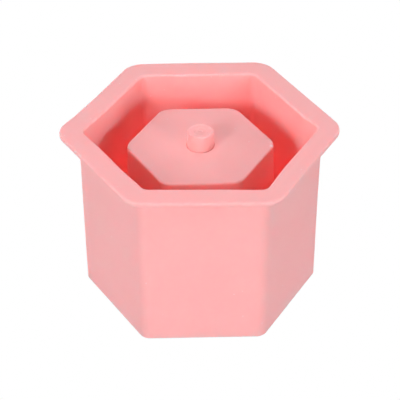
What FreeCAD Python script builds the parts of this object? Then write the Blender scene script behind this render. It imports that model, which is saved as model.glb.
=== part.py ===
import FreeCAD
import Part
import Sketcher
import os

# A six-sided casting mould for a planter or vessel with a drain hole, in soft silicone rubber.
# Millimetres, +Z up. The origin is the centre of the flat underside. The flats of the hexagon face
# front and back (-Y and +Y), with corners at -X and +X.
#
# The pot is cast upside down. Its walls form in the channel between the tub and the core, its base
# forms over the core's roof, and the peg, which reaches the strike-off level, leaves the drain hole.
# The three mouldings come apart: the core lifts out of a seat in the tub's floor, and the peg
# pulls out of the core's roof.

# alias, value in mm (degrees where the alias says so), what it is
DIMENSIONS = [
    # tub: wall, floor and rim flange in one moulding
    ("rim_height", 80.0, "underside to the flange's top face, the strike-off level"),
    ("flange_flats", 108.0, "rim flange across flats"),
    ("flange_corner", 10.4, "rim flange corner radius in plan"),
    ("flange_thickness", 2.4, "rim flange thickness"),
    ("flange_edge", 0.9, "rounding of the flange's outer edges"),
    ("flange_root", 1.5, "fillet between the flange's underside and the wall"),
    ("wall_flats", 91.0, "outside of the wall across flats at the underside"),
    ("wall_draft", 0.86, "degrees by which the wall opens upwards, outside"),
    ("wall_corner", 5.0, "outside radius of the wall's upright corners at the underside"),
    ("foot_edge", 0.4, "rounding where the wall meets the underside"),
    ("mouth_flats", 87.4, "cavity across flats at rim height"),
    ("mouth_draft", 0.86, "degrees by which the cavity narrows downwards"),
    ("mouth_corner", 3.4, "inside radius of the wall's upright corners at rim height"),
    ("mouth_edge", 0.8, "rounding of the mouth's edge"),
    ("floor_thickness", 5.0, "tub floor"),
    ("floor_fillet", 1.4, "fillet between the cavity's wall and the floor, the pot's lip"),
    ("seat_depth", 3.0, "depth of the rebate in the floor that the core stands in"),
    ("seat_clearance", 0.2, "gap between the core's foot and the rebate's wall"),
    ("aperture_flats", 52.0, "opening through the floor, below the core's hollow"),
    ("aperture_corner", 5.0, "corner radius of that opening"),
    ("aperture_edge", 0.6, "rounding of that opening's lower edge"),
    # core: a hollow block, open below
    ("core_height", 71.9, "underside of the tub to the core's roof"),
    ("core_flats", 60.8, "core across flats at its foot, where it stands in the seat"),
    ("core_draft", 1.45, "degrees by which the core narrows upwards, outside and in its hollow"),
    ("core_corner", 8.5, "radius of the core's upright corners at its foot"),
    ("core_edge", 0.8, "rounding of the roof's edge"),
    ("core_wall", 3.2, "core wall, measured square to a flat"),
    ("core_roof", 3.6, "core roof"),
    ("hollow_corner", 5.6, "radius of the hollow's upright corners at its mouth"),
    ("hollow_fillet", 1.6, "fillet between the hollow's wall and the roof's underside"),
    # drain peg: a headed plug pressed through the core's roof
    ("peg_reach", 7.5, "peg above the core's roof, the thickness of the cast base"),
    ("peg_foot_radius", 5.9, "peg at its foot"),
    ("peg_tip_radius", 5.8, "peg at its tip, narrower so that the cast lets go"),
    ("peg_edge", 0.35, "rounding of the tip's edge"),
    ("peg_sink", 0.5, "depth to which the peg's head sits in the roof"),
    ("peg_moat_radius", 6.5, "round recess in the roof that the head sits in"),
    ("dish_radius", 4.9, "shallow dish in the peg's tip"),
    ("dish_depth", 0.35, "depth of that dish"),
    ("step_radius", 2.9, "round step inside the dish"),
    ("step_depth", 0.2, "depth of that step below the dish"),
    ("gate_radius", 1.2, "small dimple left by the moulding gate"),
    ("gate_depth", 0.45, "depth of that dimple below the step"),
    ("shank_radius", 4.0, "plug shank through the roof"),
    ("shank_clearance", 0.06, "gap between the shank and its hole"),
    ("shank_proud", 1.4, "shank below the roof, to push the peg out by"),
    ("shank_lead", 0.8, "chamfer on the shank's lower end"),
]

SQRT3 = 3 ** 0.5
HEXAGON_SIDES = 6
DRAWN_RADIUS = 30   # mm, the size at which an outline is drawn before a cell sets its own
NEAR = 0.01         # mm within which two heights or distances are taken as the same
APART = 0.5         # mm that tells the edges of one outline from those of the next
OUT_FOLDER = "parts"


# ---------------------------------------------------------------- document helpers

def make_sheet(doc):
    """The spreadsheet of driving dimensions, one alias a row."""
    sheet = doc.addObject("Spreadsheet::Sheet", "Sizes")
    for row, (alias, value, note) in enumerate(DIMENSIONS, start=1):
        sheet.set(f"A{row}", alias)
        sheet.set(f"B{row}", str(value))
        sheet.set(f"C{row}", note)
        sheet.setAlias(f"B{row}", alias)
    doc.recompute()
    return sheet


def plane(body, role):
    """One of the body's own origin planes, found by its role."""
    return next(item for item in body.Origin.OriginFeatures if item.Role == role)


def add_sketch(body, name, role, height=None):
    """An empty sketch on an origin plane of the body, raised by an expression if one is given."""
    sketch = body.newObject("Sketcher::SketchObject", name)
    sketch.AttachmentSupport = [(plane(body, role), "")]
    sketch.MapMode = "FlatFace"
    if height is not None:
        sketch.setExpression("AttachmentOffset.Base.z", height)
    return sketch


def hexagon(body, name, flats, height):
    """A regular hexagon with its flats facing front and back.

    flats and height are expressions in the sheet's cells: the size across flats, and the height
    of the outline above the underside.
    """
    sketch = add_sketch(body, name, "XY_Plane", height)
    turned = FreeCAD.Rotation(FreeCAD.Vector(0, 0, 1), 360 / HEXAGON_SIDES)
    corners = [FreeCAD.Vector(DRAWN_RADIUS, 0, 0)]
    while len(corners) < HEXAGON_SIDES:
        corners.append(turned.multVec(corners[-1]))
    sides = []
    for start, end in zip(corners, corners[1:] + corners[:1]):
        sides.append(sketch.addGeometry(Part.LineSegment(start, end), False))
    ring = sketch.addGeometry(Part.Circle(FreeCAD.Vector(), FreeCAD.Vector(0, 0, 1), DRAWN_RADIUS), True)
    sketch.addConstraint(Sketcher.Constraint("Coincident", ring, 3, -1, 1))
    for side, following in zip(sides, sides[1:] + sides[:1]):
        sketch.addConstraint(Sketcher.Constraint("Coincident", side, 2, following, 1))
        sketch.addConstraint(Sketcher.Constraint("PointOnObject", side, 1, ring))
    for side in sides[1:]:
        sketch.addConstraint(Sketcher.Constraint("Equal", sides[0], side))
    sketch.addConstraint(Sketcher.Constraint("PointOnObject", sides[0], 1, -1))
    size = sketch.addConstraint(Sketcher.Constraint("Radius", ring, DRAWN_RADIUS))
    sketch.setExpression(f"Constraints[{size}]", f"({flats}) / sqrt(3)")
    return sketch


def disc(body, name, radius, height):
    """A circle on the centre line, with its radius and height bound to the sheet."""
    sketch = add_sketch(body, name, "XY_Plane", height)
    ring = sketch.addGeometry(Part.Circle(FreeCAD.Vector(), FreeCAD.Vector(0, 0, 1), DRAWN_RADIUS), False)
    sketch.addConstraint(Sketcher.Constraint("Coincident", ring, 3, -1, 1))
    size = sketch.addConstraint(Sketcher.Constraint("Radius", ring, DRAWN_RADIUS))
    sketch.setExpression(f"Constraints[{size}]", radius)
    return sketch


def pad(body, name, sketch, length):
    """A pad straight up from a sketch."""
    feature = body.newObject("PartDesign::Pad", name)
    feature.Profile = sketch
    feature.setExpression("Length", length)
    body.Document.recompute()
    return feature


def pocket(body, name, sketch, depth, upwards=False):
    """A pocket straight down from a sketch, or up from it. It has to take something away."""
    before = body.Shape.Volume
    feature = body.newObject("PartDesign::Pocket", name)
    feature.Profile = sketch
    feature.Reversed = upwards
    feature.setExpression("Length", depth)
    body.Document.recompute()
    if not body.Shape.Volume < before:
        raise RuntimeError(f"{name} cuts nothing")
    return feature


def draft(body, name, sides, neutral, angle, gains):
    """Leans the faces for which sides(face) holds, about the level face for which neutral(face) holds.

    gains is True where the lean leaves more material higher up.
    """
    base = body.Tip
    feature = body.newObject("PartDesign::Draft", name)
    feature.Base = (base, face_names(base.Shape, sides))
    feature.NeutralPlane = (base, face_names(base.Shape, neutral)[:1])
    feature.Reversed = gains
    feature.setExpression("Angle", angle)
    body.Document.recompute()
    return feature


def face_names(shape, wanted):
    """Names of the shape's faces for which wanted(face) holds."""
    names = [f"Face{n}" for n, face in enumerate(shape.Faces, start=1) if wanted(face)]
    if not names:
        raise RuntimeError("no face was found")
    return names


def edge_names(shape, wanted):
    """Names of the shape's edges for which wanted(edge) holds."""
    names = [f"Edge{n}" for n, edge in enumerate(shape.Edges, start=1) if wanted(edge)]
    if not names:
        raise RuntimeError("no edge was found")
    return names


def round_edges(body, name, wanted, radius):
    """A fillet on the edges of the body's last feature for which wanted(edge) holds."""
    feature = body.Tip
    fillet = body.newObject("PartDesign::Fillet", name)
    fillet.Base = (feature, edge_names(feature.Shape, wanted))
    fillet.setExpression("Radius", radius)
    body.Document.recompute()
    return fillet


def spans(item, low, high):
    """True where an edge or face runs from one height to the other."""
    box = item.BoundBox
    return abs(box.ZMin - low) < NEAR and abs(box.ZMax - high) < NEAR


def corner(low, high, reach):
    """A test for an upright corner edge between two heights, at a distance from the axis."""
    def test(edge):
        middle = edge.CenterOfMass
        return spans(edge, low, high) and abs((middle.x ** 2 + middle.y ** 2) ** 0.5 - reach) < NEAR
    return test


def side(low, high):
    """A test for an upright face, flat or rounded, between two heights."""
    return lambda face: spans(face, low, high)


def level(height, inner=0.0, outer=float("inf")):
    """A test for an edge of a horizontal outline, at a height, within a band across the axis."""
    def test(edge):
        middle = edge.valueAt((edge.FirstParameter + edge.LastParameter) / 2)
        return spans(edge, height, height) and inner < (middle.x ** 2 + middle.y ** 2) ** 0.5 < outer
    return test


# ---------------------------------------------------------------- the three mouldings

def make_tub(doc, size):
    """Wall, floor and rim flange, with a seat for the core round an opening in the floor."""
    body = doc.addObject("PartDesign::Body", "Tub")
    body.Label = "mould_tub"
    floor = size.floor_thickness
    rim = size.rim_height
    flange_low = rim - size.flange_thickness
    seat_low = floor - size.seat_depth
    seat_flats = size.core_flats + 2 * size.seat_clearance

    foot = hexagon(body, "WallFoot", "Sizes.wall_flats", "0")
    pad(body, "Wall", foot, "Sizes.rim_height")
    round_edges(body, "WallCorners", corner(0, rim, size.wall_flats / SQRT3), "Sizes.wall_corner")
    draft(body, "WallDraft", side(0, rim), side(0, 0), "Sizes.wall_draft", gains=True)

    flange_height = "Sizes.rim_height - Sizes.flange_thickness"
    outline = hexagon(body, "FlangeOutline", "Sizes.flange_flats", flange_height)
    pad(body, "Flange", outline, "Sizes.flange_thickness")
    flange_reach = size.flange_flats / SQRT3
    round_edges(body, "FlangeCorners", corner(flange_low, rim, flange_reach), "Sizes.flange_corner")

    mouth = hexagon(body, "MouthOutline", "Sizes.mouth_flats", "Sizes.rim_height")
    pocket(body, "Cavity", mouth, "Sizes.rim_height - Sizes.floor_thickness")
    mouth_reach = size.mouth_flats / SQRT3
    round_edges(body, "CavityCorners", corner(floor, rim, mouth_reach), "Sizes.mouth_corner")
    draft(body, "CavityDraft", side(floor, rim), side(rim, rim), "Sizes.mouth_draft", gains=False)

    seat_size = "Sizes.core_flats + 2 * Sizes.seat_clearance"
    seat = hexagon(body, "SeatOutline", seat_size, "Sizes.floor_thickness")
    pocket(body, "Seat", seat, "Sizes.seat_depth")
    round_edges(body, "SeatCorners", corner(seat_low, floor, seat_flats / SQRT3), "Sizes.core_corner")
    opening = hexagon(body, "ApertureOutline", "Sizes.aperture_flats", "Sizes.floor_thickness")
    pocket(body, "Aperture", opening, "Sizes.floor_thickness")
    aperture_reach = size.aperture_flats / SQRT3
    round_edges(body, "ApertureCorners", corner(0, seat_low, aperture_reach), "Sizes.aperture_corner")

    flange_band = size.flange_flats / 2 - APART
    round_edges(body, "FlangeTopEdge", level(rim, inner=flange_band), "Sizes.flange_edge")
    round_edges(body, "FlangeLowEdge", level(flange_low, inner=flange_band), "Sizes.flange_edge")
    round_edges(body, "FlangeRoot", level(flange_low, outer=flange_band), "Sizes.flange_root")
    round_edges(body, "MouthEdge", level(rim, outer=mouth_reach), "Sizes.mouth_edge")
    round_edges(body, "FootEdge", level(0, inner=aperture_reach + APART), "Sizes.foot_edge")
    round_edges(body, "ApertureEdge", level(0, outer=aperture_reach), "Sizes.aperture_edge")
    round_edges(body, "FloorFillet", level(floor, inner=seat_flats / SQRT3 + APART), "Sizes.floor_fillet")
    return body


def make_core(doc, size):
    """The block that leaves the pot's inside, hollow and open below, with a hole for the peg."""
    body = doc.addObject("PartDesign::Body", "Core")
    body.Label = "core"
    low = size.floor_thickness - size.seat_depth
    high = size.core_height
    ceiling = high - size.core_roof
    foot_height = "Sizes.floor_thickness - Sizes.seat_depth"
    block_height = "Sizes.core_height - Sizes.floor_thickness + Sizes.seat_depth"

    foot = hexagon(body, "CoreFoot", "Sizes.core_flats", foot_height)
    pad(body, "Block", foot, block_height)
    round_edges(body, "BlockCorners", corner(low, high, size.core_flats / SQRT3), "Sizes.core_corner")
    draft(body, "BlockDraft", side(low, high), side(low, low), "Sizes.core_draft", gains=False)

    mouth = hexagon(body, "HollowMouth", "Sizes.core_flats - 2 * Sizes.core_wall", foot_height)
    pocket(body, "Hollow", mouth, f"{block_height} - Sizes.core_roof", upwards=True)
    hollow_reach = (size.core_flats - 2 * size.core_wall) / SQRT3
    round_edges(body, "HollowCorners", corner(low, ceiling, hollow_reach), "Sizes.hollow_corner")
    draft(body, "HollowDraft", side(low, ceiling), side(low, low), "Sizes.core_draft", gains=True)

    moat = disc(body, "MoatOutline", "Sizes.peg_moat_radius", "Sizes.core_height")
    pocket(body, "Moat", moat, "Sizes.peg_sink")
    bore = disc(body, "ShankHoleOutline", "Sizes.shank_radius + Sizes.shank_clearance", "Sizes.core_height")
    pocket(body, "ShankHole", bore, "Sizes.core_roof")

    clear_of_moat = size.peg_moat_radius + APART
    round_edges(body, "RoofEdge", level(high, inner=clear_of_moat), "Sizes.core_edge")
    round_edges(body, "HollowFillet", level(ceiling, inner=clear_of_moat), "Sizes.hollow_fillet")
    return body


def half_section(body, name, points, bindings):
    """A closed outline of straight sides in the plane of X and Z, for a revolved piece.

    points are (radius, height) pairs near their true places. bindings gives the two expressions
    of each point, its radius and its height, and a radius of None holds the point on the axis.
    """
    sketch = add_sketch(body, name, "XZ_Plane")
    count = len(points)
    for here, there in zip(points, points[1:] + points[:1]):
        line = Part.LineSegment(FreeCAD.Vector(*here, 0), FreeCAD.Vector(*there, 0))
        sketch.addGeometry(line, False)
    for side in range(count):
        sketch.addConstraint(Sketcher.Constraint("Coincident", side, 2, (side + 1) % count, 1))
    for side, (point, (radius, height)) in enumerate(zip(points, bindings)):
        if radius is None:
            sketch.addConstraint(Sketcher.Constraint("PointOnObject", side, 1, -2))
        else:
            across = sketch.addConstraint(Sketcher.Constraint("DistanceX", -1, 1, side, 1, point[0]))
            sketch.setExpression(f"Constraints[{across}]", radius)
        up = sketch.addConstraint(Sketcher.Constraint("DistanceY", -1, 1, side, 1, point[1]))
        sketch.setExpression(f"Constraints[{up}]", height)
    return sketch


def make_peg(doc, size):
    """The plug that leaves the drain hole: a tapered head over a shank through the core's roof."""
    body = doc.addObject("PartDesign::Body", "Peg")
    body.Label = "drain_peg"
    roof = size.core_height
    tip = roof + size.peg_reach
    seat = roof - size.peg_sink
    end = roof - size.core_roof - size.shank_proud

    tip_height = "Sizes.core_height + Sizes.peg_reach"
    seat_height = "Sizes.core_height - Sizes.peg_sink"
    end_height = "Sizes.core_height - Sizes.core_roof - Sizes.shank_proud"
    points = [
        (0, end),
        (size.shank_radius, end),
        (size.shank_radius, seat),
        (size.peg_foot_radius, seat),
        (size.peg_tip_radius, tip),
        (0, tip),
    ]
    bindings = [
        (None, end_height),
        ("Sizes.shank_radius", end_height),
        ("Sizes.shank_radius", seat_height),
        ("Sizes.peg_foot_radius", seat_height),
        ("Sizes.peg_tip_radius", tip_height),
        (None, tip_height),
    ]
    outline = half_section(body, "PegSection", points, bindings)
    turned = body.newObject("PartDesign::Revolution", "PegTurned")
    turned.Profile = outline
    turned.ReferenceAxis = (outline, ["V_Axis"])
    turned.Angle = 360
    doc.recompute()

    dish = disc(body, "DishOutline", "Sizes.dish_radius", tip_height)
    pocket(body, "Dish", dish, "Sizes.dish_depth")
    step = disc(body, "StepOutline", "Sizes.step_radius", tip_height)
    pocket(body, "Step", step, "Sizes.dish_depth + Sizes.step_depth")
    gate = disc(body, "GateOutline", "Sizes.gate_radius", tip_height)
    pocket(body, "Gate", gate, "Sizes.dish_depth + Sizes.step_depth + Sizes.gate_depth")

    round_edges(body, "TipEdge", level(tip, inner=size.dish_radius + APART), "Sizes.peg_edge")
    rounded = body.Tip
    lead = body.newObject("PartDesign::Chamfer", "ShankLead")
    lead.Base = (rounded, edge_names(rounded.Shape, level(end)))
    lead.setExpression("Size", "Sizes.shank_lead")
    doc.recompute()
    return body


# ---------------------------------------------------------------- build, check and write

def check(doc, bodies):
    """Stops if any object failed or any moulding is not one valid solid."""
    for item in doc.Objects:
        if "Invalid" in item.State or "Error" in item.State:
            raise RuntimeError(f"{item.Name} failed: {item.State}")
    for body in bodies:
        shape = body.Shape
        if shape.isNull() or not shape.isValid() or len(shape.Solids) != 1:
            raise RuntimeError(f"{body.Label} is not one valid solid")
        box = shape.BoundBox
        print(f"{body.Label}: {shape.Volume / 1000:.1f} cm3, {box.XLength:.1f} x {box.YLength:.1f}"
              f" x {box.ZLength:.1f} mm, z {box.ZMin:.1f} to {box.ZMax:.1f}")


def main():
    """Builds the document, checks it and writes one STEP file a moulding."""
    doc = FreeCAD.newDocument("PlanterMould")
    size = make_sheet(doc)
    bodies = [make_tub(doc, size), make_core(doc, size), make_peg(doc, size)]
    doc.recompute()
    check(doc, bodies)
    os.makedirs(OUT_FOLDER, exist_ok=True)
    for body in bodies:
        body.Shape.exportStep(os.path.join(OUT_FOLDER, f"{body.Label}.step"))


main()
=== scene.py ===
import logging
from dataclasses import dataclass
from enum import Enum
from math import cos, pi, radians, sin, sqrt, tan

import bmesh
import bpy
from mathutils import Euler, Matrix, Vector
from mathutils.geometry import intersect_point_line


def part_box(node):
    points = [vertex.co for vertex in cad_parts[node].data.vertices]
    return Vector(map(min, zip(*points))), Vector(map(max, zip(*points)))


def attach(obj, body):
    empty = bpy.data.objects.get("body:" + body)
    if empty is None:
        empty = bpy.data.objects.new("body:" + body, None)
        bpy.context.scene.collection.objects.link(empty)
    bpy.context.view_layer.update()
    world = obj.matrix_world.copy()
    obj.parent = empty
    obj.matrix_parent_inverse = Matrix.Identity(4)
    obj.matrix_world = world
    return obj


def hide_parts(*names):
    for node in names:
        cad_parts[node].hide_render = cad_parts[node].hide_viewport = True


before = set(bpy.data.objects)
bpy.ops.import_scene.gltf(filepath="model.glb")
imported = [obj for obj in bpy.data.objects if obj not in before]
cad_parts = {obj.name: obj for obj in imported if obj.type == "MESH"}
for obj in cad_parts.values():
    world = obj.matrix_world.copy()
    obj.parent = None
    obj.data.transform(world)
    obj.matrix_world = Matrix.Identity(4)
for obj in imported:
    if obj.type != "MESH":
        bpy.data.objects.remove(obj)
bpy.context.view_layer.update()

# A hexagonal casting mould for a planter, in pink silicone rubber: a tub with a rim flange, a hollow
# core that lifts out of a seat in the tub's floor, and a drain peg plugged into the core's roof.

MM = 0.001
CORNERS = 6                 # a hexagon's
HALF_CORNER = pi / CORNERS  # half the turn from one corner of a hexagon to the next
TO_CORNER = 2 / sqrt(3)     # a hexagon's reach to a corner, as a share of its reach to a flat
CORNER_STEPS = 8            # straight steps round each rounded corner
SIDE_CUTS = 11              # cuts across each flat, so that it can bend
ROUND_STEPS = CORNERS * (CORNER_STEPS + 1 + SIDE_CUTS)
FILLET_STEPS = 5            # straight steps round each rounded edge

logging.basicConfig(level=logging.INFO, format="%(message)s")
log = logging.getLogger("planter mould")


# ---------------------------------------------------------------- outlines and shells

class Plan(Enum):
    """The two shapes that a level outline of the mouldings has."""

    HEXAGON = "hexagon"
    ROUND = "round"


@dataclass(frozen=True)
class Outline:
    """One level outline of a moulding, about the centre line, in millimetres."""

    reach: float                # centre line to a flat, or the radius of a round outline
    height: float               # above the tub's underside
    corner: float = 0.0         # radius of a hexagon's corners
    fillet: float = 0.0         # radius to which the edge along the outline is rounded
    plan: Plan = Plan.HEXAGON

    def towards(self, other: "Outline", share: float) -> "Outline":
        """An outline part of the way to another one, with no edge of its own.

        Args:
            other: the outline at share 1.
            share: how far along, from 0 to 1.

        Returns:
            The outline between the two.
        """
        return Outline(
            reach=self.reach + share * (other.reach - self.reach),
            height=self.height + share * (other.height - self.height),
            corner=self.corner + share * (other.corner - self.corner),
            plan=self.plan,
        )


def run(start: Outline, end: Outline, steps: int) -> list[Outline]:
    """The outlines from one up to another, with the first and without the last.

    Args:
        start: the first outline.
        end: the outline that the run leads to.
        steps: how many stretches the run is cut into.

    Returns:
        The first outline and those between.
    """
    return [start] + [start.towards(end, step / steps) for step in range(1, steps)]


class Shell:
    """A mesh drawn as a stack of level outlines, bridged, let down to their heights and rounded.

    The outlines are drawn at even heights, one above another, because a bridge between two outlines
    in one plane can come out turned over.
    """

    TAG = "outline"
    WEIGHT = "bevel_weight_edge"
    STACK_STEP = 0.02       # metres between the outlines as drawn

    def __init__(self, name: str, outlines: list[Outline], closed: bool) -> None:
        """Draws, bridges and rounds the shell.

        Args:
            name: the piece's name.
            outlines: the outlines in order along the shell's section.
            closed: True where the section returns to its start, False where its ends are capped.
        """
        bpy.ops.object.select_all(action="DESELECT")
        bpy.context.tool_settings.mesh_select_mode = (False, True, False)
        for number, outline in enumerate(outlines, start=1):
            self._draw(outline, number)
        self.piece = bpy.context.object
        self.piece.name = name
        self.piece.data.name = name
        last = len(outlines)
        for number in range(1, last):
            self._pick({number, number + 1})
            bpy.ops.mesh.bridge_edge_loops()
        if closed:
            self._pick({1, last})
            bpy.ops.mesh.bridge_edge_loops()
        else:
            for number in (1, last):
                self._pick({number})
                bpy.ops.mesh.edge_face_add()
        self._let_down(outlines)
        self._round(outlines)

    def _draft(self) -> tuple[bmesh.types.BMesh, bmesh.types.BMLayerItem]:
        """Opens the mesh being edited.

        Returns:
            The mesh, and the layer that holds each vertex's outline number.
        """
        draft = bmesh.from_edit_mesh(bpy.context.object.data)
        tag = draft.verts.layers.int.get(self.TAG) or draft.verts.layers.int.new(self.TAG)
        return draft, tag

    def _draw(self, outline: Outline, number: int) -> None:
        """Draws one outline, at its place in the stack, and tags its vertices with its number.

        A hexagon's corners are rounded first, and then its flats, by now the only long edges, are cut.

        Args:
            outline: the outline to draw.
            number: its place in the stack, from 1.
        """
        if outline.plan is Plan.ROUND:
            steps, radius = ROUND_STEPS, outline.reach
        else:
            steps, radius = CORNERS, outline.reach / cos(HALF_CORNER)
        bpy.ops.mesh.primitive_circle_add(
            vertices=steps, radius=radius * MM, location=(0, 0, number * self.STACK_STEP),
            rotation=(0, 0, HALF_CORNER))
        if number == 1:
            bpy.ops.object.transform_apply()
            bpy.ops.object.mode_set(mode="EDIT")
        if outline.plan is Plan.HEXAGON:
            self._pick({0})
            bpy.ops.mesh.bevel(
                offset_type="OFFSET", offset=outline.corner * tan(HALF_CORNER) * MM,
                segments=CORNER_STEPS, affect="VERTICES", clamp_overlap=False)
            self._pick({0}, longer_than=outline.reach / 2 * MM)
            bpy.ops.mesh.subdivide(number_cuts=SIDE_CUTS)
        draft, tag = self._draft()
        for vert in draft.verts:
            if vert[tag] == 0:
                vert[tag] = number
        bmesh.update_edit_mesh(bpy.context.object.data)

    def _pick(self, numbers: set[int], longer_than: float = 0.0) -> None:
        """Selects the edges along the outlines with these numbers, and nothing else.

        Args:
            numbers: the outlines' numbers, 0 for the one being drawn.
            longer_than: the length in metres over which an edge is selected.
        """
        bpy.ops.mesh.select_all(action="DESELECT")
        draft, tag = self._draft()
        for edge in draft.edges:
            first, second = (vert[tag] for vert in edge.verts)
            if first == second and first in numbers and edge.calc_length() > longer_than:
                edge.select_set(True)
        bmesh.update_edit_mesh(bpy.context.object.data)

    def _let_down(self, outlines: list[Outline]) -> None:
        """Moves each outline from its place in the stack to its own height.

        Args:
            outlines: the outlines in order.
        """
        draft, tag = self._draft()
        for vert in draft.verts:
            vert.co.z = outlines[vert[tag] - 1].height * MM
        bmesh.update_edit_mesh(bpy.context.object.data)

    def _round(self, outlines: list[Outline]) -> None:
        """Turns the faces outwards, and rounds the edge along each outline that has a fillet.

        Args:
            outlines: the outlines in order.
        """
        widest = max(outline.fillet for outline in outlines)
        draft, tag = self._draft()
        weight = draft.edges.layers.float.new(self.WEIGHT)
        for edge in draft.edges:
            first, second = (vert[tag] for vert in edge.verts)
            if first == second:
                edge[weight] = outlines[first - 1].fillet / widest
        mesh = bpy.context.object.data
        bmesh.update_edit_mesh(mesh)
        bpy.ops.mesh.select_all(action="SELECT")
        bpy.ops.mesh.normals_make_consistent(inside=False)
        bpy.ops.object.mode_set(mode="OBJECT")
        bevel = self.piece.modifiers.new("rounded edges", "BEVEL")
        bevel.limit_method = "WEIGHT"
        bevel.width = widest * MM
        bevel.segments = FILLET_STEPS
        bevel.use_clamp_overlap = False
        bpy.ops.object.modifier_apply(modifier=bevel.name)
        for name in (self.TAG, self.WEIGHT):
            mesh.attributes.remove(mesh.attributes[name])

    def finish(self) -> bpy.types.Object:
        """Shades the shell smooth, with its flats kept flat.

        Returns:
            The piece.
        """
        bpy.ops.object.select_all(action="DESELECT")
        self.piece.select_set(True)
        bpy.context.view_layer.objects.active = self.piece
        bpy.ops.object.shade_smooth()
        flats = self.piece.modifiers.new("flat faces", "WEIGHTED_NORMAL")
        flats.keep_sharp = False
        bpy.ops.object.modifier_apply(modifier=flats.name)
        return self.piece


# ---------------------------------------------------------------- give in the rubber

@dataclass(frozen=True)
class Give:
    """A stretch of a soft edge that has settled out of true. Lengths in millimetres."""

    start: tuple[float, float, float]
    end: tuple[float, float, float]
    by: tuple[float, float, float]
    grip: float             # within this of the stretch the rubber moves the whole way
    fade: float             # and from there it moves less and less, over this far

    def settle(self, piece: bpy.types.Object) -> None:
        """Moves the stretch, and the rubber round it in proportion.

        Args:
            piece: the moulding, in object mode.
        """
        bpy.ops.object.select_all(action="DESELECT")
        piece.select_set(True)
        bpy.context.view_layer.objects.active = piece
        bpy.ops.object.mode_set(mode="EDIT")
        bpy.context.tool_settings.mesh_select_mode = (True, False, False)
        bpy.ops.mesh.select_all(action="DESELECT")
        draft = bmesh.from_edit_mesh(piece.data)
        start, end = Vector(self.start) * MM, Vector(self.end) * MM
        for vert in draft.verts:
            nearest, share = intersect_point_line(vert.co, start, end)
            if share < 0:
                nearest = start
            elif share > 1:
                nearest = end
            vert.select_set((vert.co - nearest).length <= self.grip * MM)
        draft.select_flush_mode()
        bmesh.update_edit_mesh(piece.data)
        bpy.ops.transform.translate(
            value=Vector(self.by) * MM, use_proportional_edit=True,
            proportional_edit_falloff="SMOOTH", proportional_size=self.fade * MM)
        bpy.ops.object.mode_set(mode="OBJECT")


def ripple(piece: bpy.types.Object, above: float, depth: float, wave: float) -> None:
    """Makes a moulding's walls very slightly uneven.

    Args:
        piece: the moulding, in object mode.
        above: height in millimetres under which it stays true. The unevenness grows over as much again.
        depth: the unevenness from crest to hollow, in millimetres.
        wave: the size of its patches, in millimetres.
    """
    group = piece.vertex_groups.new(name="free wall")
    for vert in piece.data.vertices:
        rise = (vert.co.z / MM - above) / above
        group.add([vert.index], min(max(rise, 0.0), 1.0), "REPLACE")
    pattern = bpy.data.textures.new(f"{piece.name} ripple", "CLOUDS")
    pattern.noise_scale = wave * MM
    pattern.noise_depth = 0
    uneven = piece.modifiers.new("ripple", "DISPLACE")
    uneven.texture = pattern
    uneven.texture_coords = "LOCAL"
    uneven.strength = depth * MM
    uneven.mid_level = 0.5
    uneven.vertex_group = group.name
    bpy.context.view_layer.objects.active = piece
    bpy.ops.object.modifier_apply(modifier=uneven.name)
    piece.vertex_groups.clear()


# ---------------------------------------------------------------- finishes

def linear(code: str) -> tuple[float, float, float, float]:
    """Turns an sRGB hex colour to linear.

    Args:
        code: the colour as "#RRGGBB".

    Returns:
        Red, green, blue and an alpha of 1.
    """
    parts = [int(code[place:place + 2], 16) / 255 for place in (1, 3, 5)]
    red, green, blue = (p / 12.92 if p <= 0.04045 else ((p + 0.055) / 1.055) ** 2.4 for p in parts)
    return red, green, blue, 1.0


def add_node(tree: bpy.types.NodeTree, kind: str, inputs: dict[str | int, object] | None = None,
             **settings: object) -> bpy.types.Node:
    """Adds a node with its settings, values and links.

    Args:
        tree: the tree that the node goes in.
        kind: the node's type.
        inputs: values or output sockets, by input name or number.
        settings: the node's own properties.

    Returns:
        The new node.
    """
    node = tree.nodes.new(kind)
    for name, value in settings.items():
        setattr(node, name, value)
    for name, value in (inputs or {}).items():
        if isinstance(value, bpy.types.NodeSocket):
            tree.links.new(value, node.inputs[name])
        else:
            node.inputs[name].default_value = value
    return node


@dataclass(frozen=True)
class ScuffAndGlint:
    """A small pale spot painted on the rubber: on the tub a scuff in its skin, on the core a painted
    highlight at the roof's corner. Lengths in millimetres.
    """

    place: tuple[float, float, float]
    radius: float
    strength: float         # from 0, not seen, to 1, as pale as the dust
    heart: float = 0.4      # share of the radius within which the mark is at its strongest


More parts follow.
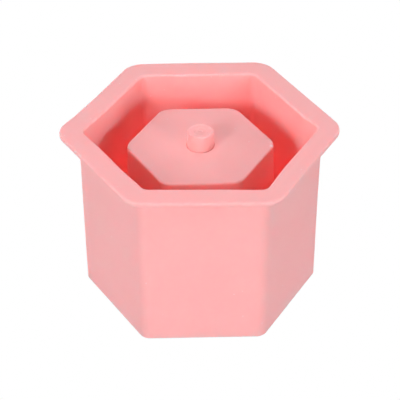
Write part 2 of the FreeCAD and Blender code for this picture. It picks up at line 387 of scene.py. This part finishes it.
@dataclass(frozen=True)
class MouldedSilicone:
    """Pigmented silicone rubber, moulded against a bead-blasted tool.

    The rubber is a satin dielectric with a little depth: light goes a few millimetres into it, so
    thin edges glow. The blasted tool leaves a fine grain that spreads the highlights, the pigment is
    very slightly uneven, and the surface holds a scatter of pale dust. Lengths in millimetres.
    """

    name: str
    pigment: str = "#FEB0A6"
    cloud: str = "#FDABA2"
    # the pale colour of the dust specks, of the scuffs and of the painted highlights
    dust_and_glint: str = "#FFD9D6"
    roughness: tuple[float, float] = (0.54, 0.66)           # of the glossier and the duller patches
    index: float = 1.41             # silicone rubber's IOR
    grain_size: float = 0.35        # the tool's grain is finer, drawn this coarse so that it shows
    grain_depth: float = 0.010
    grain_strength: float = 0.6
    flow_size: float = 22.0         # the patches in which the pigment and the gloss vary
    flow_swing: tuple[float, float] = (0.3, 0.7)            # the values between which the patches lie
    dust_spacing: float = 7.0       # between one speck of dust and the next
    dust_radius: tuple[float, float] = (0.21, 0.42)         # a speck's pale middle and its edge, drawn
                                                            # larger than dust is so that they show
    dust_strength: float = 0.5
    depth: float = 4.0              # how far red light goes into the rubber
    depth_shares: tuple[float, float, float] = (1.0, 0.12, 0.1)     # of that depth for red, green, blue
    depth_weight: float = 0.6       # share of the colour that comes from inside the rubber
    scuffs_and_glints: tuple[ScuffAndGlint, ...] = ()

    def material(self) -> bpy.types.Material:
        """Builds the material.

        Returns:
            The material, on Object coordinates.
        """
        material = bpy.data.materials.new(self.name)
        material.use_nodes = True
        tree = material.node_tree
        tree.nodes.clear()
        place = add_node(tree, "ShaderNodeTexCoord").outputs["Object"]
        flow = add_node(tree, "ShaderNodeTexNoise",
                        {"Vector": place, "Scale": 1 / (self.flow_size * MM), "Detail": 3.0,
                         "Roughness": 0.5})
        colour = add_node(tree, "ShaderNodeMix",
                          {0: flow.outputs["Fac"], 6: linear(self.pigment), 7: linear(self.cloud)},
                          data_type="RGBA")
        specks = add_node(tree, "ShaderNodeTexVoronoi",
                          {"Vector": place, "Scale": 1 / (self.dust_spacing * MM)}, feature="F1")
        speck_middle, speck_edge = self.dust_radius
        mask = add_node(tree, "ShaderNodeMapRange",
                        {"Value": specks.outputs["Distance"],
                         "From Min": speck_middle / self.dust_spacing,
                         "From Max": speck_edge / self.dust_spacing,
                         "To Min": self.dust_strength, "To Max": 0.0})
        skin = self._pale(tree, colour, mask)
        # pale spots: scuffs in the skin, and painted highlights
        for pale_mark in self.scuffs_and_glints:
            away = add_node(tree, "ShaderNodeVectorMath",
                            {0: place, 1: Vector(pale_mark.place) * MM}, operation="DISTANCE")
            edge = pale_mark.radius * MM
            pale_mark_mask = add_node(tree, "ShaderNodeMapRange",
                            {"Value": away.outputs["Value"], "From Min": pale_mark.heart * edge,
                             "From Max": edge, "To Min": pale_mark.strength, "To Max": 0.0})
            skin = self._pale(tree, skin, pale_mark_mask)
        flow_low, flow_high = self.flow_swing
        glossier, duller = self.roughness
        gloss = add_node(tree, "ShaderNodeMapRange",
                         {"Value": flow.outputs["Fac"], "From Min": flow_low, "From Max": flow_high,
                          "To Min": glossier, "To Max": duller})
        grain = add_node(tree, "ShaderNodeTexNoise",
                         {"Vector": place, "Scale": 1 / (self.grain_size * MM), "Detail": 2.0})
        bump = add_node(tree, "ShaderNodeBump",
                        {"Height": grain.outputs["Fac"], "Strength": self.grain_strength,
                         "Distance": self.grain_depth * MM})
        shader = add_node(tree, "ShaderNodeBsdfPrincipled",
                          {"Base Color": skin.outputs[2], "Roughness": gloss.outputs["Result"],
                           "IOR": self.index, "Normal": bump.outputs["Normal"],
                           "Subsurface Weight": self.depth_weight, "Subsurface Scale": self.depth * MM,
                           "Subsurface Radius": self.depth_shares})
        add_node(tree, "ShaderNodeOutputMaterial", {"Surface": shader.outputs["BSDF"]})
        return material

    def _pale(self, tree: bpy.types.NodeTree, skin: bpy.types.Node,
              mask: bpy.types.Node) -> bpy.types.Node:
        """Turns the skin paler, towards the colour of dust, scuffs and painted highlights, where a mask
        says so.

        Args:
            tree: the material's nodes.
            skin: the Mix node that holds the colour so far.
            mask: the Map Range node that says where and how much, from 0 to 1.

        Returns:
            The Mix node that holds the new colour.
        """
        return add_node(tree, "ShaderNodeMix",
                        {0: mask.outputs["Result"], 6: skin.outputs[2], 7: linear(self.dust_and_glint)},
                        data_type="RGBA")


@dataclass(frozen=True)
class OpalAcrylic:
    """Cast opal acrylic, lit from behind as on a light table: an even white glow without gloss."""

    name: str
    glow: float

    def material(self) -> bpy.types.Material:
        """Builds the material.

        Returns:
            The material.
        """
        material = bpy.data.materials.new(self.name)
        material.use_nodes = True
        tree = material.node_tree
        tree.nodes.clear()
        light = add_node(tree, "ShaderNodeEmission", {"Strength": self.glow})
        add_node(tree, "ShaderNodeOutputMaterial", {"Surface": light.outputs["Emission"]})
        return material


# ---------------------------------------------------------------- the three mouldings

class Moulding:
    """One rubber moulding: a shell that stands for a node of the frame and rides on its body."""

    node = ""
    body = ""
    slot = ""
    name = ""
    scuffs_and_glints: tuple[ScuffAndGlint, ...] = ()

    def outlines(self) -> list[Outline]:
        """The outlines along the moulding's section."""
        raise NotImplementedError

    def soften(self, piece: bpy.types.Object) -> None:
        """Gives the rubber its small unevenness. A stiff moulding has none."""

    def build(self) -> bpy.types.Object:
        """Models, dresses and places the moulding.

        Returns:
            The piece.
        """
        shell = Shell(self.name, self.outlines(), self.closed())
        self.soften(shell.piece)
        piece = shell.finish()
        piece.data.materials.clear()
        finish = MouldedSilicone(f"{self.name} pink rubber", scuffs_and_glints=self.scuffs_and_glints)
        piece.data.materials.append(finish.material())
        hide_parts(self.node)
        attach(piece, self.body)
        return piece

    def closed(self) -> bool:
        """True where the section is a ring round a hole through the moulding."""
        return True


def leaned(outline: Outline, height: float, lean: float, fillet: float = 0.0) -> Outline:
    """The outline at another height on a wall that leans.

    Args:
        outline: the outline at the wall's first end.
        height: the height of the other end.
        lean: degrees by which the wall grows outwards with height.
        fillet: the rounding of the edge there.

    Returns:
        The outline at that height.
    """
    growth = (height - outline.height) * tan(radians(lean))
    return Outline(outline.reach + growth, height, outline.corner + growth, fillet)


def drawn_in(outline: Outline, share: float) -> Outline:
    """The outline at the same height, drawn in towards the centre line.

    Args:
        outline: the outline to draw in.
        share: its new size as a share of the old.

    Returns:
        The smaller outline.
    """
    return Outline(outline.reach * share, outline.height, outline.corner * share)


@dataclass
class Tub(Moulding):
    """Wall, floor and rim flange, with the seat that the core stands in. Sizes in millimetres."""

    high: Vector
    core_foot: Outline
    lean: float = 0.86          # degrees by which the wall opens upwards
    floor: float = 5.0
    flange_thickness: float = 2.4
    flange_corner: float = 10.4
    flange_edge: float = 0.9
    flange_root: float = 1.5
    mouth_reach: float = 43.7
    mouth_corner: float = 3.4
    mouth_edge: float = 1.0
    floor_fillet: float = 1.4
    seat_gap: float = 0.2       # room round the core's foot
    foot_reach: float = 45.5
    foot_corner: float = 5.0
    foot_edge: float = 0.4
    aperture_reach: float = 26.0
    aperture_corner: float = 5.0
    aperture_edge: float = 0.6
    seat_edge: float = 0.3

    node = "mould_tub"
    body = "tub"
    slot = "tub_silicone"
    name = "silicone_tub"
    scuffs_and_glints = (ScuffAndGlint((26.0, -45.5, 7.3), radius=0.9, strength=0.5),)

    def outlines(self) -> list[Outline]:
        """Draws the section: up the outside, over the flange, down the cavity, in over the floor.

        Returns:
            The outlines in that order, ending at the opening's lower edge.
        """
        rim = self.high.z / MM
        flange_low = rim - self.flange_thickness
        flange_reach = self.high.y / MM
        seat_low = self.core_foot.height
        foot = Outline(self.foot_reach, 0.0, self.foot_corner, self.foot_edge)
        root = leaned(foot, flange_low, self.lean, self.flange_root)
        flange_under = Outline(flange_reach, flange_low, self.flange_corner, self.flange_edge)
        flange_top = Outline(flange_reach, rim, self.flange_corner, self.flange_edge)
        mouth = Outline(self.mouth_reach, rim, self.mouth_corner, self.mouth_edge)
        basin = leaned(mouth, self.floor, self.lean, self.floor_fillet)
        seat_reach = self.core_foot.reach + self.seat_gap
        seat_top = Outline(seat_reach, self.floor, self.core_foot.corner, self.seat_edge)
        seat_bottom = Outline(seat_reach, seat_low, self.core_foot.corner)
        aperture_top = Outline(self.aperture_reach, seat_low, self.aperture_corner, self.seat_edge)
        aperture_bottom = Outline(self.aperture_reach, 0.0, self.aperture_corner, self.aperture_edge)
        return [
            *run(foot, root, steps=5),
            *run(root, flange_under, steps=2),
            flange_under,
            *run(flange_top, mouth, steps=3),
            *run(mouth, basin, steps=6),
            *run(basin, seat_top, steps=2),
            seat_top,
            seat_bottom,
            aperture_top,
            aperture_bottom,
        ]

    def soften(self, piece: bpy.types.Object) -> None:
        """Lets the thin flange and the mouth settle a little out of true.

        Args:
            piece: the tub, in object mode.
        """
        ripple(piece, above=8.0, depth=0.3, wave=24.0)
        rim = self.high.z / MM
        mouth = self.mouth_reach
        mouth_tip = mouth * TO_CORNER
        flange = self.high.y / MM
        flange_tip = flange * TO_CORNER
        mouth_right = (mouth_tip, 0.0, rim)
        mouth_left = (-mouth_tip, 0.0, rim)
        mouth_front_right = (mouth_tip / 2, -mouth, rim)
        mouth_front_left = (-mouth_tip / 2, -mouth, rim)
        flange_left = (-flange_tip, 0.1 * flange, rim)
        back_left_start = (-0.75 * flange_tip, 0.5 * flange, rim)
        back_left_end = (-0.6 * flange_tip, 0.8 * flange, rim)
        for give in (
            Give(mouth_front_right, mouth_right, by=(0.9, 0.0, 0.0), grip=2.0, fade=9.0),
            Give(mouth_front_right, mouth_front_right, by=(0.4, -0.3, -0.2), grip=3.0, fade=16.0),
            Give(mouth_front_left, mouth_front_left, by=(0.5, 0.3, 0.3), grip=3.0, fade=20.0),
            Give(mouth_left, mouth_left, by=(-0.6, 0.2, 0.0), grip=3.0, fade=16.0),
            Give(back_left_start, back_left_end, by=(0.35, -0.2, 0.0), grip=3.0, fade=12.0),
            Give(flange_left, flange_left, by=(-0.35, 0.1, 0.1), grip=6.0, fade=10.0),
        ):
            give.settle(piece)


@dataclass
class Core(Moulding):
    """The hollow block that leaves the pot's inside. Sizes in millimetres."""

    low: Vector
    high: Vector
    peg_radius: float
    lean: float = -1.45         # degrees; the block narrows upwards
    corner: float = 8.5
    edge: float = 0.8
    wall: float = 3.2
    roof: float = 3.6
    roof_ring: float = 0.55     # a ring of faces inside the roof's edge, as a share of the roof's size
    roof_front: float = 0.93    # where the roof's front edge runs, as a share of the foot's reach
    hollow_corner: float = 5.6
    hollow_fillet: float = 1.6
    moat_width: float = 0.12    # the gap round the peg's foot
    moat_depth: float = 0.5
    moat_edge: float = 0.4
    hole_radius: float = 4.06   # for the peg's shank
    soft_edge: float = 0.25

    node = "core"
    body = "core"
    slot = "core_silicone"
    name = "silicone_core"
    # a painted highlight: a pale spot painted on the roof's right corner
    scuffs_and_glints = (ScuffAndGlint((31.1, -1.7, 71.6), radius=1.1, strength=1.0),)

    def foot(self) -> Outline:
        """The outline of the core's foot."""
        return Outline(self.high.y / MM, self.low.z / MM, self.corner, self.soft_edge)

    def outlines(self) -> list[Outline]:
        """Draws the section: up the outside, in over the roof, down the peg's hole, down the hollow.

        Returns:
            The outlines in that order, ending at the hollow's mouth.
        """
        top = self.high.z / MM
        ceiling = top - self.roof
        foot = self.foot()
        roof = leaned(foot, top, self.lean, self.edge)
        hollow_mouth = Outline(foot.reach - self.wall, foot.height, self.hollow_corner, self.soft_edge)
        hollow_top = leaned(hollow_mouth, ceiling, self.lean, self.hollow_fillet)
        moat_radius = self.peg_radius + self.moat_width
        moat_top = Outline(moat_radius, top, fillet=self.moat_edge, plan=Plan.ROUND)
        moat_bottom = Outline(moat_radius, top - self.moat_depth, plan=Plan.ROUND)
        hole_top = Outline(self.hole_radius, top - self.moat_depth, plan=Plan.ROUND)
        hole_bottom = Outline(self.hole_radius, ceiling, fillet=self.soft_edge, plan=Plan.ROUND)
        return [
            *run(foot, roof, steps=5),
            *run(roof, drawn_in(roof, self.roof_ring), steps=3),
            moat_top,
            moat_bottom,
            hole_top,
            hole_bottom,
            *run(hollow_top, hollow_mouth, steps=4),
            hollow_mouth,
        ]

    def soften(self, piece: bpy.types.Object) -> None:
        """Lets the roof's front edge hang a little on the left.

        Args:
            piece: the core, in object mode.
        """
        top = self.high.z / MM
        front = self.roof_front * self.high.y / MM
        corner = (-front * TO_CORNER / 2, -front, top)
        middle = (0.0, -front, top)
        Give(corner, middle, by=(0.0, -0.25, -0.2), grip=3.0, fade=12.0).settle(piece)


@dataclass
class DrainPeg(Moulding):
    """The plug that leaves the drain hole: a dished head over a shank. Sizes in millimetres."""

    low: Vector
    high: Vector
    roof: float
    sink: float = 0.5           # of the head into the core's roof
    tip_radius: float = 5.8
    tip_edge: float = 0.55
    foot_edge: float = 0.3
    shank_radius: float = 4.0
    lead: float = 0.8           # chamfer on the shank's lower end
    dish_radius: float = 4.9
    dish_depth: float = 0.25
    dish_slope: float = 0.45    # how far in the dish's side comes on its way down
    step_radius: float = 2.9
    step_depth: float = 0.12
    gate_radius: float = 1.0    # the small dimple that the moulding gate leaves
    gate_depth: float = 0.4
    lip_edge: float = 0.3
    soft_edge: float = 0.2

    node = "drain_peg"
    body = "peg"
    slot = "peg_silicone"
    name = "silicone_drain_peg"

    def closed(self) -> bool:
        """False: the peg is solid, and its section ends on the centre line."""
        return False

    def outlines(self) -> list[Outline]:
        """Draws the section: up the shank, out under the head, up its side and in over the dished tip.

        Returns:
            The outlines in that order, from the shank's end to the dimple.
        """
        end = self.low.z / MM
        tip = self.high.z / MM
        seat = self.roof - self.sink
        dish = tip - self.dish_depth
        step = dish - self.step_depth
        gate = step - self.gate_depth
        profile = [
            (self.shank_radius - self.lead, end, 0.0),
            (self.shank_radius, end + self.lead, self.soft_edge),
            (self.shank_radius, seat, 0.0),
            (self.high.x / MM, seat, self.foot_edge),
            (self.tip_radius, tip, self.tip_edge),
            (self.dish_radius, tip, self.lip_edge),
            (self.dish_radius - self.dish_slope, dish, self.soft_edge),
            (self.step_radius, dish, self.soft_edge),
            (self.step_radius - self.soft_edge, step, 0.0),
            (self.gate_radius, step, self.soft_edge),
            (self.gate_radius - self.soft_edge, gate, 0.0),
        ]
        return [Outline(radius, height, fillet=fillet, plan=Plan.ROUND)
                for radius, height, fillet in profile]


# ---------------------------------------------------------------- studio

def direction(azimuth: float, elevation: float) -> Vector:
    """The way from the mould to something in the studio.

    Args:
        azimuth: degrees round the mould, 0 at the front and 90 on its right.
        elevation: degrees above the level.

    Returns:
        A vector of length 1.
    """
    turn = radians(azimuth)
    rise = radians(elevation)
    return Vector((sin(turn) * cos(rise), -cos(turn) * cos(rise), sin(rise)))


@dataclass(frozen=True)
class Softbox:
    """A square studio light that faces the mould. Lengths in metres, angles in degrees."""

    name: str
    azimuth: float
    elevation: float
    distance: float
    side: float
    watts: float

    def place(self, target: Vector, colour: str) -> None:
        """Adds the light.

        Args:
            target: the point that it faces.
            colour: the light's colour, as an sRGB hex value.
        """
        way = direction(self.azimuth, self.elevation)
        data = bpy.data.lights.new(self.name, "AREA")
        data.shape = "SQUARE"
        data.size = self.side
        data.energy = self.watts
        data.color = linear(colour)[:3]
        light = bpy.data.objects.new(self.name, data)
        bpy.context.scene.collection.objects.link(light)
        light.location = target + self.distance * way
        light.rotation_euler = way.to_track_quat("Z", "Y").to_euler()


@dataclass(frozen=True)
class Studio:
    """A pale table, a surround that darkens overhead, soft lights all round and the camera."""

    daylight: str = "#ECF0FF"       # the surround's colour and the softboxes'
    horizon: float = 0.38           # strength of the surround from the horizon down
    dark_above: float = 0.5         # sine of the elevation from which the surround is dark
    table_glow: float = 1.0         # the table's and the backdrop's
    table_side: float = 4.0         # m
    bounces: int = 64               # deep in the channel light meets the rubber many times
    lens: float = 175.5             # mm
    sensor: float = 36.0            # mm
    distance: float = 0.8707        # m
    elevation: float = 36.64        # degrees
    azimuth: float = -1.30          # degrees
    roll: float = -0.21             # degrees
    aim: tuple[float, float, float] = (-0.00028, 0.0, 0.04178)    # m
    lights: tuple[Softbox, ...] = (
        Softbox("key", azimuth=-38, elevation=25, distance=1.0, side=0.3, watts=5.8),
        Softbox("fill", azimuth=42, elevation=12, distance=1.0, side=0.3, watts=6.2),
        Softbox("left", azimuth=-75, elevation=15, distance=1.0, side=0.3, watts=2.1),
        Softbox("front top", azimuth=0, elevation=65, distance=1.0, side=0.4, watts=1.9),
        Softbox("top", azimuth=180, elevation=85, distance=1.0, side=0.3, watts=4.5),
        Softbox("back left", azimuth=-145, elevation=12, distance=1.0, side=0.6, watts=4.2),
        Softbox("back right", azimuth=145, elevation=12, distance=1.0, side=0.6, watts=4.0),
    )

    def build(self) -> None:
        """Adds the table, the surround, the lights and the camera."""
        self._table()
        self._surround()
        for light in self.lights:
            light.place(Vector(self.aim), self.daylight)
        self._camera()

    def _table(self) -> None:
        """A wide glowing table, shadowless, that throws no light up at the mould."""
        bpy.ops.object.select_all(action="DESELECT")
        bpy.ops.mesh.primitive_plane_add(size=self.table_side)
        table = bpy.context.object
        table.name = "table"
        table.visible_diffuse = False
        table.visible_shadow = False
        table.data.materials.append(OpalAcrylic("white light table", self.table_glow).material())

    def _surround(self) -> None:
        """A surround that lights the mould from low down, behind a backdrop as white as the table."""
        world = bpy.data.worlds.new("white surround")
        world.use_nodes = True
        tree = world.node_tree
        tree.nodes.clear()
        way = add_node(tree, "ShaderNodeTexCoord").outputs["Generated"]
        height = add_node(tree, "ShaderNodeSeparateXYZ", {"Vector": way})
        strength = add_node(tree, "ShaderNodeMapRange",
                            {"Value": height.outputs["Z"], "From Min": 0.0, "From Max": self.dark_above,
                             "To Min": self.horizon, "To Max": 0.0})
        light = add_node(tree, "ShaderNodeBackground",
                         {"Color": linear(self.daylight), "Strength": strength.outputs["Result"]})
        backdrop = add_node(tree, "ShaderNodeBackground", {"Strength": self.table_glow})
        seen = add_node(tree, "ShaderNodeLightPath").outputs["Is Camera Ray"]
        both = add_node(tree, "ShaderNodeMixShader",
                        {0: seen, 1: light.outputs["Background"], 2: backdrop.outputs["Background"]})
        add_node(tree, "ShaderNodeOutputWorld", {"Surface": both.outputs["Shader"]})
        scene = bpy.context.scene
        scene.world = world
        scene.view_settings.view_transform = "Standard"
        scene.cycles.max_bounces = self.bounces
        scene.cycles.diffuse_bounces = self.bounces

    def _camera(self) -> None:
        """The camera, looking down at the mould's front."""
        data = bpy.data.cameras.new("camera")
        data.lens = self.lens
        data.sensor_width = self.sensor
        camera = bpy.data.objects.new("camera", data)
        bpy.context.scene.collection.objects.link(camera)
        camera.location = Vector(self.aim) + self.distance * direction(self.azimuth, self.elevation)
        tilt = radians(90 - self.elevation)
        level = Euler((tilt, 0, radians(self.azimuth))).to_matrix()
        camera.rotation_euler = (level @ Euler((0, 0, radians(self.roll))).to_matrix()).to_euler()
        bpy.context.scene.camera = camera


# ---------------------------------------------------------------- the whole

def main() -> None:
    """Builds the studio and the mould's pieces in it, and reports each piece."""
    Studio().build()
    _, tub_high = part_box("mould_tub")
    core_low, core_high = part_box("core")
    peg_low, peg_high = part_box("drain_peg")
    core = Core(Vector(core_low), Vector(core_high), peg_radius=peg_high[0] / MM)
    tub = Tub(Vector(tub_high), core_foot=core.foot())
    peg = DrainPeg(Vector(peg_low), Vector(peg_high), roof=core_high[2] / MM)
    for moulding in (tub, core, peg):
        piece = moulding.build()
        log.info("%s: %d vertices", piece.name, len(piece.data.vertices))


if __name__ == "__main__":
    main()
